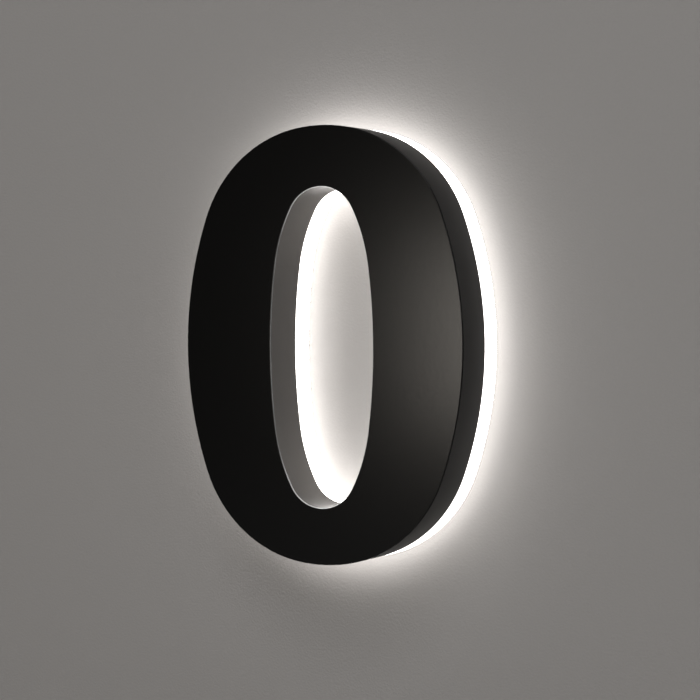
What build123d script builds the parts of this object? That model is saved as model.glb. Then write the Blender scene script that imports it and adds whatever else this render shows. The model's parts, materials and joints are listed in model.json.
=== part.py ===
"""Illuminated house number, digit nought, for a wall.

A folded metal cover carries the digit's face, its outer return and the return round its
counter. Behind it an opal back shows as a bright band and lights the wall. The opal back is
a tray that is screwed to the wall. It holds a carrier plate with light modules, their leads,
a terminal block and the cable gland. The cover pushes over the tray's tongue, and a grub
screw at the top and one at the bottom press on brackets that stand on the carrier plate.

Frame: +Z is up and +X is to the viewer's right. The wall is the plane Y = 0, and the sign
stands out of it towards -Y. A level is a height above the wall, so a level h lies at Y = -h.
The origin is the middle of the digit's height and width, on the wall. All sizes are in mm.
"""

import os
from math import copysign, cos, radians, sin, tan

from build123d import *

# ---------------------------------------------------------------- driving dimensions

# The digit's outer outline: a crown, shoulders and sides, all tangent arcs. Its angles are
# in degrees from the top.
digit_width = 141.0
digit_height = 200.0
digit_crown_radius = 75.0
digit_crown_angle = 10.0  # where the crown meets the shoulder
digit_side_angle = 70.1  # where the shoulder meets the side

# The counter, which is the opening in the digit, lies inside strokes of these widths.
crown_stroke = 28.0
foot_stroke = 26.0
side_stroke = 44.4
counter_roundness = 0.659  # the radius of its crown, over half its width
counter_crown_angle = 62.0
counter_side_angle = 82.5

# The cover.
cover_depth = 24.0  # from the face to the back edge of the returns
face_thickness = 2.0
face_edge_radius = 0.5
return_thickness = 1.2
liner_thickness = 0.4
liner_gap = 0.3  # between the liner's edge and the returns

# The opal back.
band_depth = 13.5  # the bright band between the cover and the wall
floor_thickness = 3.0
tongue_thickness = 3.0
tongue_length = 5.0
tongue_gap = 0.3  # between the tongue and the returns
tongue_lead_in = 0.6
shell_seal_width = 1.5
shell_seal_depth = 0.8  # how deep the seal lies in the tongue
shell_seal_proud = 0.1
shell_seal_rise = 2.0  # from the tongue's root to the seal
wall_gasket_inset = 2.0
wall_gasket_width = 3.0
wall_gasket_depth = 1.0
slack = 0.05  # round what sits in a groove or a hole

# The carrier plate, and its four push rivets.
carrier_thickness = 2.0
carrier_gap = 1.0  # between the plate and the tray's walls
rivet_radius = 1.5
rivet_head_radius = 2.75
rivet_head_height = 1.2
rivet_tail_radius = 2.4
rivet_tail_depth = 1.0
rivet_tail_recess = 0.3
rivet_module_gap = 2.0  # between a rivet's head and the module beside it

# The sleeves that take the wall screws.
sleeve_bore_radius = 2.25
sleeve_radius = 3.3
sleeve_flange_radius = 5.0
sleeve_flange_height = 1.0

# A light module with two lenses, on a foam tape.
module_length = 28.0
module_width = 12.0
module_height = 6.0
module_corner = 1.5
module_chamfer = 0.8
module_port_radius = 1.5  # of the round boss that a lead comes out of
module_port_length = 1.2
module_port_depth = 1.0  # how deep a lead lies in the module's end
tape_thickness = 0.8
tape_margin = 0.5
lens_radius = 3.5
lens_rim_radius = 4.4
lens_rim_height = 0.6
lens_dome = 1.8
lens_spacing = 14.0
chip_length = 3.0
chip_width = 2.8
chip_height = 0.8
chip_pocket_radius = 2.4
chip_pocket_depth = 2.4

# The leads.
lead_radius = 0.75
lead_spacing = 8.8  # between the two leads of a pair
lead_height = 2.6  # above a module's underside
lead_stub = 1.2  # straight length where a lead leaves a module
lead_clearance = 1.0  # from a lead's bow to the flange of a sleeve
lead_bend_share = 0.45  # of the shorter run at a corner, which the bend takes

# The locking brackets, blocks and grub screws at the crown and the foot.
bracket_width = 10.0
bracket_sheet = 1.6
bracket_bend = 0.8  # inside radius of the bend
bracket_wall_gap = 1.2  # from the end of the leg to the tray's wall
bracket_above_screw = 3.5
bracket_toe = 1.0  # from the bracket screw's head to the end of the leg
bracket_corner = 1.5
bracket_module_gap = 4.0
bracket_screw_radius = 1.5
bracket_screw_head_radius = 2.7
bracket_screw_tip = 1.4  # how far the tip stands out behind the carrier plate
block_width = 12.0
block_length = 8.0
block_depth = 6.5
block_tongue_gap = 1.0
lock_screw_radius = 2.0
lock_screw_recess = 0.3  # below the return's outer face
lock_screw_gap = 0.2  # between the tip and the bracket
lock_screw_point = 0.5
hex_socket_flats = 2.0
hex_socket_depth = 0.9
lock_socket_depth = 2.2

# The cable gland. Its flange lies in the back of the tray.
gland_bore_radius = 3.5
gland_barrel_radius = 5.2
gland_barrel_length = 7.0  # above the carrier plate
gland_flange_radius = 7.5
gland_flange_thickness = 1.4
gland_flange_recess = 0.2
gland_seal_radius = 4.3
gland_seal_bore_radius = 3.1
gland_seal_length = 4.0
gland_nut_flats = 14.0
gland_nut_height = 2.4
gland_cap_flats = 13.0
gland_cap_height = 5.0
gland_cap_roof = 1.5
gland_edge = 0.5  # chamfer on the hexagons' corners

# The terminal block.
terminal_length = 16.0
terminal_width = 18.0
terminal_height = 11.0
terminal_corner = 1.0
pole_spacing = 9.8  # between the terminal block's two clamps
clamp_radius = 2.6
clamp_bore_radius = 1.8
clamp_length = 13.0
clamp_screw_radius = 1.25
clamp_screw_head_radius = 1.7
clamp_screw_head_height = 1.6
clamp_screw_recess = 1.2
clamp_screw_spacing = 7.0
clamp_lead_grip = 1.5  # how far a lead reaches past its clamp screw
well_gap = 0.3  # round a screw's head in the terminal block
slot_width = 0.6
slot_depth = 0.7
terminal_screw_radius = 1.3
terminal_screw_head_radius = 2.3
terminal_screw_head_height = 1.4
terminal_screw_recess = 3.0
inlet_gap = 1.2  # half of it on each side of the inlet's place on the lane
supply_lead_length = 9.0  # from the terminal block to the first module

# ---------------------------------------------------------------- derived sizes

tongue_level = band_depth + tongue_length
carrier_top = floor_thickness + carrier_thickness
module_level = carrier_top + tape_thickness
lead_level = module_level + lead_height
face_level = band_depth + cover_depth
face_back_level = face_level - face_thickness
tongue_inset = return_thickness + tongue_gap
wall_inset = tongue_inset + tongue_thickness  # from the outline to the tray's inner wall
carrier_inset = wall_inset + carrier_gap
lock_level = tongue_level + block_tongue_gap + block_length / 2
rivet_offset = module_width / 2 + rivet_module_gap + rivet_head_radius
bracket_leg = bracket_sheet + bracket_bend + 2 * bracket_screw_head_radius + bracket_toe
counter_drop = (crown_stroke - foot_stroke) / 2  # the counter lies below the digit's middle
lens_places = [(-lens_spacing / 2, 0), (lens_spacing / 2, 0)]
lead_laterals = [-lead_spacing / 2, lead_spacing / 2]

TOWARDS_VIEWER = Vector(0, -1, 0)
ON_BASE = (Align.CENTER, Align.CENTER, Align.MIN)

os.makedirs("parts", exist_ok=True)


def save(builder, name):
    """Labels a finished piece and writes it."""
    builder.part.label = name
    export_step(builder.part, f"parts/{name}.step")


# ---------------------------------------------------------------- the digit's outlines


class Oval:
    """A nought's outline: two crowns, four shoulders and two sides, all tangent arcs.

    Angles are in degrees, and are counted from the top towards the right. The crown's radius
    is given. An arc of radius r from angle a to angle b goes r * (sin b - sin a) across and
    r * (cos a - cos b) down, and the arcs of a quarter have to go half the width across and
    half the height down, which gives the radii of the shoulder and the side.
    """

    def __init__(self, width, height, crown_radius, crown_angle, side_angle, drop=0.0):
        crown_turn, side_turn = radians(crown_angle), radians(side_angle)
        shoulder_across = sin(side_turn) - sin(crown_turn)
        shoulder_down = cos(crown_turn) - cos(side_turn)
        side_across = 1 - sin(side_turn)
        side_down = cos(side_turn)
        across = width / 2 - crown_radius * sin(crown_turn)
        down = height / 2 - crown_radius * (1 - cos(crown_turn))
        share = shoulder_across * side_down - side_across * shoulder_down
        shoulder_radius = (across * side_down - side_across * down) / share
        side_radius = (shoulder_across * down - shoulder_down * across) / share
        step = crown_radius - shoulder_radius
        crown_y = height / 2 - crown_radius
        self.drop = drop
        self.crown_angle = crown_angle
        self.side_angle = side_angle
        self.crown = (crown_y, crown_radius)
        self.shoulder = (step * sin(crown_turn), crown_y + step * cos(crown_turn), shoulder_radius)
        self.side = (width / 2 - side_radius, side_radius)

    def arcs(self):
        """Centre, radius, first angle and last angle of each of the eight arcs."""
        crown, side = self.crown_angle, self.side_angle
        crown_y, crown_radius = self.crown
        shoulder_x, shoulder_y, shoulder_radius = self.shoulder
        side_x, side_radius = self.side
        for first, half in ((0, 1), (180, -1)):
            shoulder_place = (half * shoulder_x, half * shoulder_y, shoulder_radius)
            next_shoulder_place = (half * shoulder_x, -half * shoulder_y, shoulder_radius)
            yield 0, half * crown_y, crown_radius, first - crown, first + crown
            yield *shoulder_place, first + crown, first + side
            yield half * side_x, 0, side_radius, first + side, first + 180 - side
            yield *next_shoulder_place, first + 180 - side, first + 180 - crown

    def draw(self, grow=0.0):
        """Draws the outline in the current line builder, moved outwards by grow."""
        for x, y, radius, first, last in self.arcs():
            CenterArc((x, y - self.drop), radius + grow, 90 - last, last - first)

    def point(self, angle):
        """The point whose outward direction is turned by angle from the top."""
        for x, y, radius, first, last in self.arcs():
            if first <= angle <= last or first <= angle - 360 <= last:
                turn = radians(angle)
                return Vector(x + radius * sin(turn), y - self.drop + radius * cos(turn))
        raise ValueError(f"no arc at {angle} degrees")


digit = Oval(
    digit_width, digit_height, digit_crown_radius, digit_crown_angle, digit_side_angle
)
counter_width = digit_width - 2 * side_stroke
counter = Oval(
    counter_width,
    digit_height - crown_stroke - foot_stroke,
    counter_roundness * counter_width / 2,
    counter_crown_angle,
    counter_side_angle,
    counter_drop,
)


def ring_face(level, inset):
    """The digit's flat shape at a level, with its edge and its counter set back."""
    with BuildSketch(Plane.XZ.offset(level)) as ring:
        with BuildLine():
            digit.draw(-inset)
        make_face()
        with BuildLine():
            counter.draw(inset)
        make_face(mode=Mode.SUBTRACT)
    return ring.sketch


def outer_band(level, inset, width):
    """A loop that follows the digit's edge at a level."""
    with BuildSketch(Plane.XZ.offset(level)) as band:
        with BuildLine():
            digit.draw(-inset)
        make_face()
        with BuildLine():
            digit.draw(-inset - width)
        make_face(mode=Mode.SUBTRACT)
    return band.sketch


def counter_band(level, inset, width):
    """A loop that follows the counter's edge at a level."""
    with BuildSketch(Plane.XZ.offset(level)) as band:
        with BuildLine():
            counter.draw(inset + width)
        make_face()
        with BuildLine():
            counter.draw(inset)
        make_face(mode=Mode.SUBTRACT)
    return band.sketch


# ---------------------------------------------------------------- places along the lane


def lane_point(angle):
    """Half way between the digit's edge and its counter."""
    middle = (digit.point(angle) + counter.point(angle)) * 0.5
    return (middle.X, 0, middle.Y)


# The modules follow one another along the lane, the middle of the digit's stroke.
with BuildLine() as lane:
    Spline(*[lane_point(angle) for angle in range(0, 360, 10)], periodic=True)
lane_edge = lane.edge()
lane_length = lane_edge.length


def flat_plane(origin, x_dir):
    """A plane whose Z is towards the viewer. Its origin is on the wall."""
    return Plane(origin=origin, x_dir=x_dir, z_dir=TOWARDS_VIEWER)


def beside(place, distance):
    """A place moved out of the digit, along its own Y."""
    return flat_plane(place.from_local_coords((0, distance, 0)), place.x_dir)


def lane_plane(distance):
    """A place on the lane, at a distance clockwise from the top.

    Its X runs along the lane, its Y points out of the digit.
    """
    share = (distance / lane_length) % 1.0
    return flat_plane(lane_edge.position_at(share), lane_edge.tangent_at(share))


def module_plane(distance):
    """A straight module's place: half way between the lane and the lane's chord."""
    start = lane_plane(distance - module_length / 2).origin
    end = lane_plane(distance + module_length / 2).origin
    on_chord = (start + end) * 0.5
    return flat_plane((on_chord + lane_plane(distance).origin) * 0.5, end - start)


# The inlet is at the left, three quarters of the way round: gland below, terminals above.
quarter_lane = lane_length / 4
half_lane = lane_length / 2
inlet_station = lane_length - quarter_lane
gland_across = gland_nut_flats / cos(radians(30))
gland_station = inlet_station - inlet_gap / 2 - gland_across / 2
terminal_station = inlet_station + inlet_gap / 2 + terminal_length / 2
inlet_reach = inlet_gap / 2 + terminal_length + supply_lead_length

# Each quarter has a module by the crown, a sleeve, and a module by the side.
crown_station = bracket_width / 2 + bracket_module_gap + module_length / 2
side_station = quarter_lane - inlet_reach - module_length / 2
sleeve_station = (crown_station + side_station) / 2

# In the order in which the current goes round, from the terminal block.
module_stations = [
    lane_length - side_station,
    lane_length - crown_station,
    lane_length + crown_station,
    lane_length + side_station,
    lane_length + half_lane - side_station,
    lane_length + half_lane - crown_station,
    lane_length + half_lane + crown_station,
    lane_length + half_lane + side_station,
]
module_places = [module_plane(station) for station in module_stations]

# The sleeves stand at the corners of an upright rectangle about the origin.
sleeve_corner = lane_plane(sleeve_station).origin
sleeve_x = sleeve_corner.X
sleeve_z = sleeve_corner.Z + counter_drop / 2
sleeve_places = [
    flat_plane((x, 0, z), (1, 0, 0)) for x in (-sleeve_x, sleeve_x) for z in (-sleeve_z, sleeve_z)
]

# The crown and the foot. At each, Y points out of the digit. A bracket's place is the middle
# of the face that the grub screw presses on, and its leg ends beside the counter's wall.
end_places = {
    "top": flat_plane((0, 0, 0), (1, 0, 0)),
    "bottom": flat_plane((0, 0, 0), (-1, 0, 0)),
}
edge_to_bracket = {
    end: stroke - wall_inset - bracket_wall_gap - bracket_leg
    for end, stroke in (("top", crown_stroke), ("bottom", foot_stroke))
}
bracket_places = {
    end: beside(place, digit_height / 2 - edge_to_bracket[end])
    for end, place in end_places.items()
}
bracket_screw_y = -bracket_sheet - bracket_bend - bracket_screw_head_radius
bracket_screw_places = {
    end: beside(place, bracket_screw_y) for end, place in bracket_places.items()
}
rivet_places = [beside(module_places[number], rivet_offset) for number in (0, 3, 4, 7)]
gland_place = lane_plane(gland_station)
terminal_place = lane_plane(terminal_station)


def drill(places, level, depth, radius):
    """Cuts round holes that start at a level and go towards the viewer."""
    with Locations(*[place.offset(level) for place in places]):
        Cylinder(radius, depth, align=ON_BASE, mode=Mode.SUBTRACT)


# ---------------------------------------------------------------- the cover

with BuildPart() as face_plate:
    extrude(ring_face(face_back_level, 0), amount=face_thickness)
    fillet(face_plate.faces().sort_by(Axis.Y)[0].edges(), radius=face_edge_radius)
save(face_plate, "face_plate")

return_height = face_back_level - band_depth
lock_bore_radius = lock_screw_radius + slack

with BuildPart() as outer_return:
    extrude(outer_band(band_depth, 0, return_thickness), amount=return_height)
    with Locations(Plane((0, -lock_level, 0), z_dir=(0, 0, 1))):
        Cylinder(lock_bore_radius, digit_height, mode=Mode.SUBTRACT)
save(outer_return, "outer_return")

with BuildPart() as counter_return:
    extrude(counter_band(band_depth, 0, return_thickness), amount=return_height)
save(counter_return, "counter_return")

with BuildPart() as reflector_liner:
    extrude(
        ring_face(face_back_level - liner_thickness, return_thickness + liner_gap),
        amount=liner_thickness,
    )
save(reflector_liner, "reflector_liner")

# The block lies against the inside of the outer return, and takes the grub screw.
block_level = lock_level - block_length / 2
block_inner_y = digit_height / 2 - return_thickness - block_depth
with BuildPart() as block_pattern:
    with BuildSketch(Plane.XY.offset(block_level)):
        with BuildLine():
            digit.draw(-return_thickness)
        make_face()
        with Locations((0, block_inner_y)):
            Rectangle(
                block_width,
                digit_height,
                align=(Align.CENTER, Align.MIN),
                mode=Mode.INTERSECT,
            )
    extrude(amount=block_length)
    with Locations(Plane((0, 0, lock_level), z_dir=(0, 1, 0))):
        Cylinder(lock_bore_radius, digit_height, align=ON_BASE, mode=Mode.SUBTRACT)

# ---------------------------------------------------------------- the opal back

with BuildPart() as opal_back:
    extrude(ring_face(0, 0), amount=band_depth)
    extrude(ring_face(band_depth, tongue_inset), amount=tongue_length)
    chamfer(opal_back.faces().sort_by(Axis.Y)[0].edges(), length=tongue_lead_in)
    extrude(
        ring_face(floor_thickness, wall_inset),
        amount=tongue_level - floor_thickness,
        mode=Mode.SUBTRACT,
    )
    seal_level = band_depth + shell_seal_rise
    groove_inset = tongue_inset - tongue_gap
    groove_depth = tongue_gap + shell_seal_depth
    for band in (outer_band, counter_band):
        shell_groove = band(seal_level, groove_inset, groove_depth)
        extrude(shell_groove, amount=shell_seal_width, mode=Mode.SUBTRACT)
        wall_groove = band(0, wall_gasket_inset, wall_gasket_width)
        extrude(wall_groove, amount=wall_gasket_depth, mode=Mode.SUBTRACT)
    drill(sleeve_places, 0, floor_thickness, sleeve_radius + slack)
    drill(rivet_places, 0, floor_thickness, rivet_radius + slack)
    drill(rivet_places, 0, rivet_tail_recess + rivet_tail_depth, rivet_tail_radius + slack)
    drill([gland_place], 0, floor_thickness, gland_barrel_radius + slack)
    drill(
        [gland_place], 0, gland_flange_recess + gland_flange_thickness, gland_flange_radius + slack
    )
    screw_tip_level = floor_thickness - bracket_screw_tip
    drill(
        bracket_screw_places.values(),
        screw_tip_level,
        bracket_screw_tip,
        bracket_screw_radius + slack,
    )
    drill([terminal_place], screw_tip_level, bracket_screw_tip, terminal_screw_radius + slack)
save(opal_back, "opal_back")

# ---------------------------------------------------------------- seals and gaskets

for side, band in (("outer", outer_band), ("counter", counter_band)):
    with BuildPart() as shell_seal:
        seal_inset = tongue_inset - shell_seal_proud
        seal_thickness = shell_seal_proud + shell_seal_depth - slack
        extrude(
            band(seal_level + slack, seal_inset, seal_thickness),
            amount=shell_seal_width - 2 * slack,
        )
    save(shell_seal, f"{side}_shell_seal")

    with BuildPart() as wall_gasket:
        extrude(
            band(0, wall_gasket_inset + slack, wall_gasket_width - 2 * slack),
            amount=wall_gasket_depth,
        )
    save(wall_gasket, f"{side}_wall_gasket")

# ---------------------------------------------------------------- the carrier plate

with BuildPart() as carrier_plate:
    extrude(ring_face(floor_thickness, carrier_inset), amount=carrier_thickness)
    drill(sleeve_places, floor_thickness, carrier_thickness, sleeve_radius + slack)
    drill(rivet_places, floor_thickness, carrier_thickness, rivet_radius + slack)
    drill([gland_place], floor_thickness, carrier_thickness, gland_barrel_radius + slack)
    drill(
        bracket_screw_places.values(),
        floor_thickness,
        carrier_thickness,
        bracket_screw_radius + slack,
    )
    drill([terminal_place], floor_thickness, carrier_thickness, terminal_screw_radius + slack)
save(carrier_plate, "carrier_plate")


# The pieces below are drawn once, standing on the wall with Z towards the viewer, and then
# copied to their places.


def save_copies(pattern, places, name):
    """Writes one piece, with a copy of the pattern at each place."""
    with BuildPart() as piece:
        with Locations(*places):
            add(pattern.part)
    save(piece, name)


def hexagon(flats):
    """Draws a hexagon with a corner on X."""
    RegularPolygon(flats / 2, 6, major_radius=False)


def stand(radius, level, top, mode=Mode.ADD):
    """A round rod on the Z axis, from a level to its top."""
    with Locations((0, 0, level)):
        Cylinder(radius, top - level, align=ON_BASE, mode=mode)


with BuildPart() as rivet_pattern:
    stand(rivet_tail_radius, rivet_tail_recess, rivet_tail_recess + rivet_tail_depth)
    stand(rivet_radius, rivet_tail_recess, carrier_top)
    stand(rivet_head_radius, carrier_top, carrier_top + rivet_head_height)
    fillet(rivet_pattern.edges().sort_by(Axis.Z)[-1], radius=rivet_head_height / 2)
save_copies(rivet_pattern, rivet_places, "carrier_rivets")

with BuildPart() as sleeve_pattern:
    stand(sleeve_radius, 0, carrier_top)
    stand(sleeve_flange_radius, carrier_top, carrier_top + sleeve_flange_height)
    stand(sleeve_bore_radius, 0, carrier_top + sleeve_flange_height, Mode.SUBTRACT)
for number, place in enumerate(sleeve_places, 1):
    save_copies(sleeve_pattern, [place], f"mount_sleeve_{number}")

# ---------------------------------------------------------------- what locks the cover on

leg_top = carrier_top + bracket_sheet
with BuildPart() as bracket_pattern:
    bracket_top = lock_level + bracket_above_screw
    with BuildSketch(Plane.YZ.offset(-bracket_width / 2)):
        with BuildLine():
            FilletPolyline(
                (-bracket_leg, carrier_top),
                (0, carrier_top),
                (0, bracket_top),
                (-bracket_sheet, bracket_top),
                (-bracket_sheet, leg_top),
                (-bracket_leg, leg_top),
                radius=[0, bracket_bend + bracket_sheet, 0, 0, bracket_bend, 0],
                close=True,
            )
        make_face()
    extrude(amount=bracket_width)
    fillet(
        bracket_pattern.edges().filter_by(Axis.Y).group_by(Axis.Z)[-1], radius=bracket_corner
    )
    fillet(
        bracket_pattern.edges().filter_by(Axis.Z).group_by(Axis.Y)[0], radius=bracket_corner
    )
    with Locations((0, bracket_screw_y, leg_top)):
        CounterSinkHole(
            bracket_screw_radius + slack, bracket_screw_head_radius + slack, bracket_sheet
        )

with BuildPart() as bracket_screw_pattern:
    cone_level = leg_top - (bracket_screw_head_radius - bracket_screw_radius)
    stand(bracket_screw_radius, screw_tip_level, leg_top)
    with Locations((0, 0, cone_level)):
        Cone(
            bracket_screw_radius,
            bracket_screw_head_radius,
            leg_top - cone_level,
            align=ON_BASE,
        )
    with BuildSketch(Plane.XY.offset(leg_top)):
        hexagon(hex_socket_flats)
    extrude(amount=-hex_socket_depth, mode=Mode.SUBTRACT)

grub_tip = Plane((0, lock_screw_gap, lock_level), z_dir=(0, 1, 0))
for end, bracket_place in bracket_places.items():
    grub_length = edge_to_bracket[end] - lock_screw_recess - lock_screw_gap
    with BuildPart() as grub_pattern:
        with BuildSketch(grub_tip):
            Circle(lock_screw_radius)
        extrude(amount=grub_length)
        chamfer(grub_pattern.edges().filter_by(GeomType.CIRCLE), length=lock_screw_point)
        with BuildSketch(grub_tip.offset(grub_length)):
            hexagon(hex_socket_flats)
        extrude(amount=-lock_socket_depth, mode=Mode.SUBTRACT)
    save_copies(block_pattern, [end_places[end]], f"lock_block_{end}")
    save_copies(grub_pattern, [bracket_place], f"lock_screw_{end}")
    save_copies(bracket_pattern, [bracket_place], f"lock_bracket_{end}")
    save_copies(bracket_screw_pattern, [bracket_screw_places[end]], f"bracket_screw_{end}")

# ---------------------------------------------------------------- the cable gland

gland_top = carrier_top + gland_barrel_length
gland_seal_level = gland_top - gland_seal_length
with BuildPart() as gland_body:
    flange_top = gland_flange_recess + gland_flange_thickness
    stand(gland_flange_radius, gland_flange_recess, flange_top)
    stand(gland_barrel_radius, gland_flange_recess, gland_top)
    stand(gland_bore_radius, gland_flange_recess, gland_top, Mode.SUBTRACT)
    stand(gland_seal_radius + slack, gland_seal_level, gland_top, Mode.SUBTRACT)
save_copies(gland_body, [gland_place], "gland_body")

with BuildPart() as gland_seal:
    stand(gland_seal_radius, gland_seal_level, gland_top)
    stand(gland_seal_bore_radius, gland_seal_level, gland_top, Mode.SUBTRACT)
save_copies(gland_seal, [gland_place], "gland_seal")

with BuildPart() as gland_locknut:
    with BuildSketch(Plane.XY.offset(carrier_top)):
        hexagon(gland_nut_flats)
        Circle(gland_barrel_radius + slack, mode=Mode.SUBTRACT)
    extrude(amount=gland_nut_height)
save_copies(gland_locknut, [gland_place], "gland_locknut")

with BuildPart() as gland_cap:
    cap_top = gland_top + gland_cap_roof
    with BuildSketch(Plane.XY.offset(cap_top - gland_cap_height)):
        hexagon(gland_cap_flats)
    extrude(amount=gland_cap_height)
    chamfer(gland_cap.faces().sort_by(Axis.Z)[-1].edges(), length=gland_edge)
    stand(gland_barrel_radius + slack, cap_top - gland_cap_height, gland_top, Mode.SUBTRACT)
    stand(gland_bore_radius, gland_top, cap_top, Mode.SUBTRACT)
save_copies(gland_cap, [gland_place], "gland_cap")

# ---------------------------------------------------------------- the terminal block

terminal_top = carrier_top + terminal_height
clamp_axes = [
    Plane((0, lateral, lead_level), z_dir=(1, 0, 0))
    for lateral in (-pole_spacing / 2, pole_spacing / 2)
]

with BuildPart() as terminal_body:
    with BuildSketch(Plane.XY.offset(carrier_top)):
        RectangleRounded(terminal_length, terminal_width, terminal_corner)
    extrude(amount=terminal_height)
    with Locations(*clamp_axes):
        Cylinder(clamp_radius + slack, terminal_length, mode=Mode.SUBTRACT)
    with GridLocations(clamp_screw_spacing, pole_spacing, 2, 2):
        stand(clamp_screw_head_radius + well_gap, lead_level, terminal_top, Mode.SUBTRACT)
    screw_head_top = terminal_top - terminal_screw_recess
    screw_head_level = screw_head_top - terminal_screw_head_height
    stand(terminal_screw_radius + slack, carrier_top, terminal_top, Mode.SUBTRACT)
    stand(terminal_screw_head_radius + slack, screw_head_level, terminal_top, Mode.SUBTRACT)
save_copies(terminal_body, [terminal_place], "terminal_body")

with BuildPart() as terminal_clamps:
    with Locations(*clamp_axes):
        Cylinder(clamp_radius, clamp_length)
        Cylinder(clamp_bore_radius, clamp_length, mode=Mode.SUBTRACT)
    with GridLocations(clamp_screw_spacing, pole_spacing, 2, 2):
        stand(clamp_screw_radius + slack, lead_level, terminal_top, Mode.SUBTRACT)
save_copies(terminal_clamps, [terminal_place], "terminal_clamps")

with BuildPart() as terminal_screws:
    head_top = terminal_top - clamp_screw_recess
    with GridLocations(clamp_screw_spacing, pole_spacing, 2, 2):
        stand(clamp_screw_radius, lead_level + lead_radius + slack, head_top)
        stand(clamp_screw_head_radius, head_top - clamp_screw_head_height, head_top)
        with Locations((0, 0, head_top)):
            Box(
                2 * clamp_screw_head_radius,
                slot_width,
                2 * slot_depth,
                mode=Mode.SUBTRACT,
            )
save_copies(terminal_screws, [terminal_place], "terminal_screws")

with BuildPart() as terminal_fixing_screw:
    stand(terminal_screw_radius, screw_tip_level, screw_head_top)
    stand(terminal_screw_head_radius, screw_head_level, screw_head_top)
    with Locations((0, 0, screw_head_top)):
        Box(2 * terminal_screw_head_radius, slot_width, 2 * slot_depth, mode=Mode.SUBTRACT)
save_copies(terminal_fixing_screw, [terminal_place], "terminal_fixing_screw")

# ---------------------------------------------------------------- the light modules

module_top = module_level + module_height
port_reach = module_length / 2 + module_port_length
lead_end = module_length / 2 - module_port_depth
ports = [
    Plane((end * lead_end, lateral, lead_level), z_dir=(end, 0, 0))
    for end in (-1, 1)
    for lateral in lead_laterals
]

with BuildPart() as housing_pattern:
    with BuildSketch(Plane.XY.offset(module_level)):
        RectangleRounded(module_length, module_width, module_corner)
    extrude(amount=module_height)
    chamfer(housing_pattern.faces().sort_by(Axis.Z)[-1].edges(), length=module_chamfer)
    with Locations(*ports):
        Cylinder(module_port_radius, port_reach - lead_end, align=ON_BASE)
        Cylinder(lead_radius + slack, port_reach, align=ON_BASE, mode=Mode.SUBTRACT)
    with Locations(*lens_places):
        stand(chip_pocket_radius, module_top - chip_pocket_depth, module_top, Mode.SUBTRACT)

dome_radius = (lens_radius**2 + lens_dome**2) / (2 * lens_dome)
dome_level = module_top + lens_rim_height
with BuildPart() as lens_pattern:
    with BuildSketch(Plane.XZ) as lens_section:
        with BuildLine():
            Polyline(
                (0, dome_level + lens_dome),
                (0, module_top),
                (lens_rim_radius, module_top),
                (lens_rim_radius, dome_level),
                (lens_radius, dome_level),
            )
            RadiusArc((lens_radius, dome_level), (0, dome_level + lens_dome), -dome_radius)
        make_face()
    revolve(axis=Axis.Z)
with BuildPart() as lens_pair:
    with Locations(*lens_places):
        add(lens_pattern.part)

for number, place in enumerate(module_places, 1):
    save_copies(housing_pattern, [place], f"module_housing_{number}")
    save_copies(lens_pair, [place], f"module_lens_{number}")

with BuildPart() as chip_pair:
    with Locations(*[(x, y, module_top - chip_pocket_depth) for x, y in lens_places]):
        Box(chip_length, chip_width, chip_height, align=ON_BASE)
save_copies(chip_pair, module_places, "led_chips")

with BuildPart() as tape_pattern:
    with BuildSketch(Plane.XY.offset(carrier_top)):
        RectangleRounded(
            module_length - 2 * tape_margin,
            module_width - 2 * tape_margin,
            module_corner - tape_margin,
        )
    extrude(amount=tape_thickness)
save_copies(tape_pattern, module_places, "module_tapes")

# ---------------------------------------------------------------- the leads


def corner_radii(points):
    """For each corner of a route, a bend that takes its share of the shorter run."""
    radii = []
    for before, corner, after in zip(points, points[1:], points[2:]):
        run_in = corner - before
        run_out = after - corner
        half_turn = radians(run_in.get_angle(run_out)) / 2
        reach = lead_bend_share * min(run_in.length, run_out.length)
        radii.append(reach / tan(half_turn))
    return radii


def lay_lead(points):
    """Sweeps one lead through the points, with straight runs and tangent bends."""
    with BuildLine() as route:
        FilletPolyline(*points, radius=corner_radii(points))
    with BuildSketch(Plane(points[0], z_dir=points[1] - points[0])) as section:
        Circle(lead_radius)
    sweep(section.sketch, path=route.wire())


def lead_points(place, lateral, *reaches):
    """Points of a lead beside a place's middle, at distances along the place's X."""
    return [place.from_local_coords((reach, lateral, lead_level)) for reach in reaches]


bow = sleeve_flange_radius + lead_radius + lead_clearance
stub_end = port_reach + lead_stub
stations_and_places = list(zip(module_stations, module_places))
neighbours = zip(stations_and_places, stations_and_places[1:])
for number, ((station, place), (next_station, next_place)) in enumerate(neighbours, 1):
    past_a_bracket = number in (2, 6)
    middle = lane_plane((station + next_station) / 2)
    with BuildPart() as jumper:
        for lateral in lead_laterals:
            spread = lateral if past_a_bracket else copysign(bow, lateral)
            points = lead_points(place, lateral, lead_end, stub_end)
            points += lead_points(middle, spread, 0)
            points += lead_points(next_place, lateral, -stub_end, -lead_end)
            lay_lead(points)
    save(jumper, f"jumper_{number}")

with BuildPart() as supply_leads:
    for pole, lateral in zip((-pole_spacing / 2, pole_spacing / 2), lead_laterals):
        grip_end = clamp_screw_spacing / 2 - clamp_lead_grip
        points = lead_points(terminal_place, pole, grip_end, terminal_length / 2 + lead_stub)
        points += lead_points(module_places[0], lateral, -stub_end, -lead_end)
        lay_lead(points)
save(supply_leads, "supply_leads")
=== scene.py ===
# %% [markdown]
# # A halo-lit house number, digit nought
#
# The real object is a folded metal digit, coated black, in front of an opal acrylic tray.
# Light modules in the tray make its rim glow, and the rim lights the wall all round.
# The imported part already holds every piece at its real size, so this file only gives the
# pieces their finish, adds what is too fine for the solids, and sets up wall, light and
# camera. Lengths are in metres, +Z is up, and the wall is the plane Y = 0.

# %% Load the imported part
import json
from math import cos, pi, radians, sin

import bpy
import numpy as np
from mathutils import Matrix, Vector

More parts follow.
